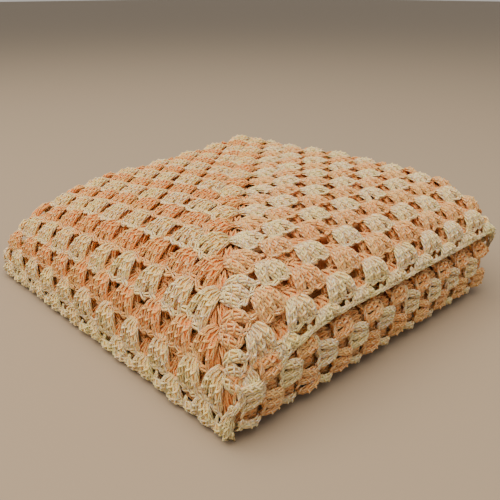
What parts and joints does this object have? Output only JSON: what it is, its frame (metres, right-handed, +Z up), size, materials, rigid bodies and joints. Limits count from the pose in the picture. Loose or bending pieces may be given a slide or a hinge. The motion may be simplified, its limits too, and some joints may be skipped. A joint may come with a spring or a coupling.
{
  "type": "folded throw blanket",
  "caption": "Crocheted square throw folded into a flat packet, with its edge draped over two sides; the packet opens at its last fold.",
  "frame": {"origin": "on the resting plane, under the middle of the folded packet", "axes": "+Z up; +X from the packet's front corner along the open front to the right corner; +Y from the front corner to the left corner, towards the last fold"},
  "size_m": [0.31, 0.33, 0.084],
  "materials": {
    "cream_yarn": "brushed acrylic yarn, crocheted, cream rounds",
    "peach_yarn": "brushed acrylic yarn, crocheted, peach rounds",
    "lemon_yarn": "brushed acrylic yarn, crocheted, lemon border",
    "mixed_yarn": "brushed acrylic yarn, crocheted, cream and peach rounds together"
  },
  "bodies": {
    "lower_half": {"lower_outer_run": "mixed_yarn", "lower_inner_run": "peach_yarn", "front_fold": "mixed_yarn"},
    "back_fold": {"back_fold": "mixed_yarn"},
    "upper_half": {"upper_inner_run": "peach_yarn", "upper_outer_run": "mixed_yarn", "top_panel": "cream_yarn", "front_hem": "cream_yarn", "hem_border": "lemon_yarn"},
    "side_drape": {"side_drape": "cream_yarn", "drape_border": "lemon_yarn"}
  },
  "joints": [
    {"name": "open_lower_bend", "type": "hinge", "parent": "lower_half", "child": "back_fold", "pos_m": [0, 0.147, 0.024], "axis": [-1, 0, 0], "range_deg": [0, 90]},
    {"name": "open_upper_bend", "type": "hinge", "parent": "back_fold", "child": "upper_half", "pos_m": [0, 0.147, 0.06], "axis": [-1, 0, 0], "range_deg": [0, 90]},
    {"name": "lift_side_drape", "type": "hinge", "parent": "upper_half", "child": "side_drape", "pos_m": [-0.144, 0, 0.067], "axis": [0, 1, 0], "range_deg": [0, 90]}
  ],
  "couplings": [
    {"joint": "open_upper_bend", "follows": "open_lower_bend", "ratio": 1}
  ]
}
